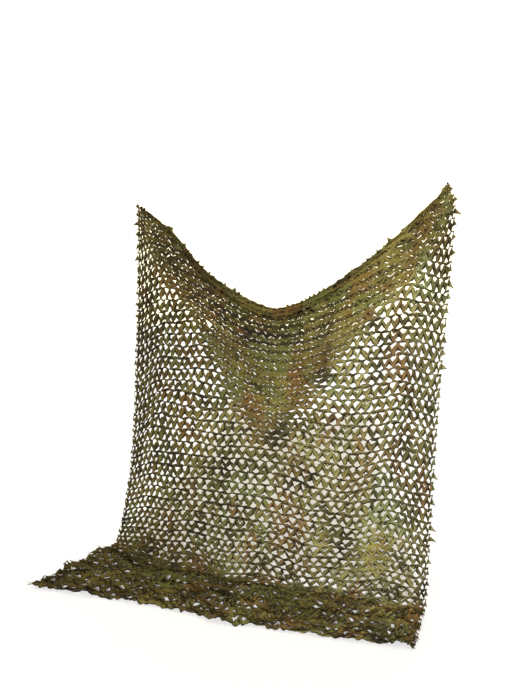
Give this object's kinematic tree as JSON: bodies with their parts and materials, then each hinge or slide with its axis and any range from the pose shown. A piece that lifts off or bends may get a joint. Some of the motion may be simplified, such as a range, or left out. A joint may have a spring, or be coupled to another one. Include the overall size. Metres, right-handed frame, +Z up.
{
  "type": "camouflage net",
  "caption": "Die-cut camouflage net hung by two corners, its top edge sagging in a deep arc and its foot spread over the floor in low folds.",
  "frame": {"origin": "middle of the net's bounding box, at floor level", "axes": "+Z up, +X along the line between the two held corners, -Y towards the side on which the foot is spread over the floor"},
  "size_m": [2.0539, 0.7849, 2.0995],
  "materials": {
    "net_cloth": "matt coated polyester, printed in a woodland camouflage"
  },
  "bodies": {
    "root": {"net_sheet": "net_cloth"}
  },
  "joints": []
}
